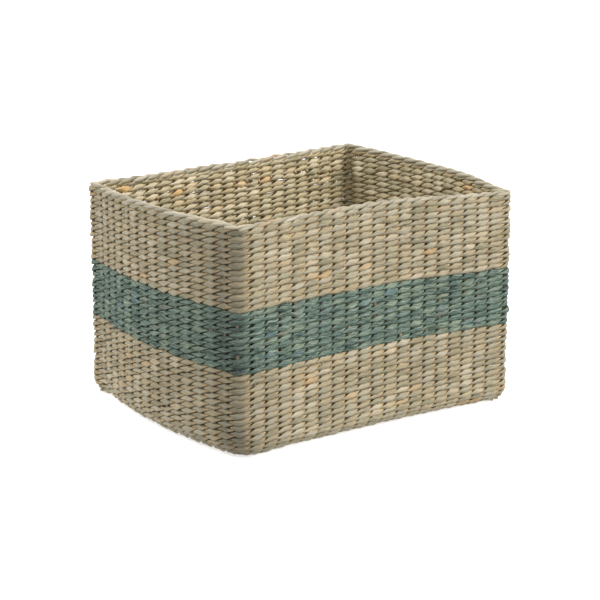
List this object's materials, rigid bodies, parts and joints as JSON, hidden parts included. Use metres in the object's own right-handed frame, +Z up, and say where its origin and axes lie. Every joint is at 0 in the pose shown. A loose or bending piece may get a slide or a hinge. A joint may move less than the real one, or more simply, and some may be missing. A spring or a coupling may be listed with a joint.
{
  "type": "storage basket",
  "caption": "Rectangular hand-twined seagrass storage basket, open at the top, with a blue-green dyed band round its walls and a folded-over rim.",
  "frame": {"origin": "centre of the footprint, on the surface that the basket stands on", "axes": "+Z up, +X along the length towards one bowed end wall, +Y along the depth towards the back face"},
  "size_m": [0.38, 0.292, 0.24],
  "materials": {
    "natural_seagrass": "dry twisted seagrass, undyed, matte with a faint sheen along the fibre",
    "dyed_seagrass": "dry twisted seagrass, dyed blue-green, uneven take-up of the dye",
    "stake_seagrass": "thin twisted seagrass cord, undyed, matte",
    "border_seagrass": "thin twisted seagrass cord, undyed, folded along the crest"
  },
  "bodies": {
    "root": {"base_weave": "natural_seagrass", "lower_natural_weave": "natural_seagrass", "dyed_weave": "dyed_seagrass", "upper_natural_weave": "natural_seagrass", "rim_border": "border_seagrass", "corner_stake_front_left": "stake_seagrass", "corner_stake_front_right": "stake_seagrass", "corner_stake_back_left": "stake_seagrass", "corner_stake_back_right": "stake_seagrass", "cross_stake_01": "stake_seagrass", "cross_stake_02": "stake_seagrass", "cross_stake_03": "stake_seagrass", "cross_stake_04": "stake_seagrass", "cross_stake_05": "stake_seagrass", "cross_stake_06": "stake_seagrass", "cross_stake_07": "stake_seagrass", "cross_stake_08": "stake_seagrass", "cross_stake_09": "stake_seagrass", "cross_stake_10": "stake_seagrass", "cross_stake_11": "stake_seagrass", "cross_stake_12": "stake_seagrass", "cross_stake_13": "stake_seagrass", "cross_stake_14": "stake_seagrass", "cross_stake_15": "stake_seagrass", "cross_stake_16": "stake_seagrass", "cross_stake_17": "stake_seagrass", "cross_stake_18": "stake_seagrass", "cross_stake_19": "stake_seagrass", "long_stake_01": "stake_seagrass", "long_stake_02": "stake_seagrass", "long_stake_03": "stake_seagrass", "long_stake_04": "stake_seagrass", "long_stake_05": "stake_seagrass", "long_stake_06": "stake_seagrass", "long_stake_07": "stake_seagrass", "long_stake_08": "stake_seagrass", "long_stake_09": "stake_seagrass", "long_stake_10": "stake_seagrass", "long_stake_11": "stake_seagrass", "long_stake_12": "stake_seagrass", "long_stake_13": "stake_seagrass", "long_stake_14": "stake_seagrass"}
  },
  "joints": []
}
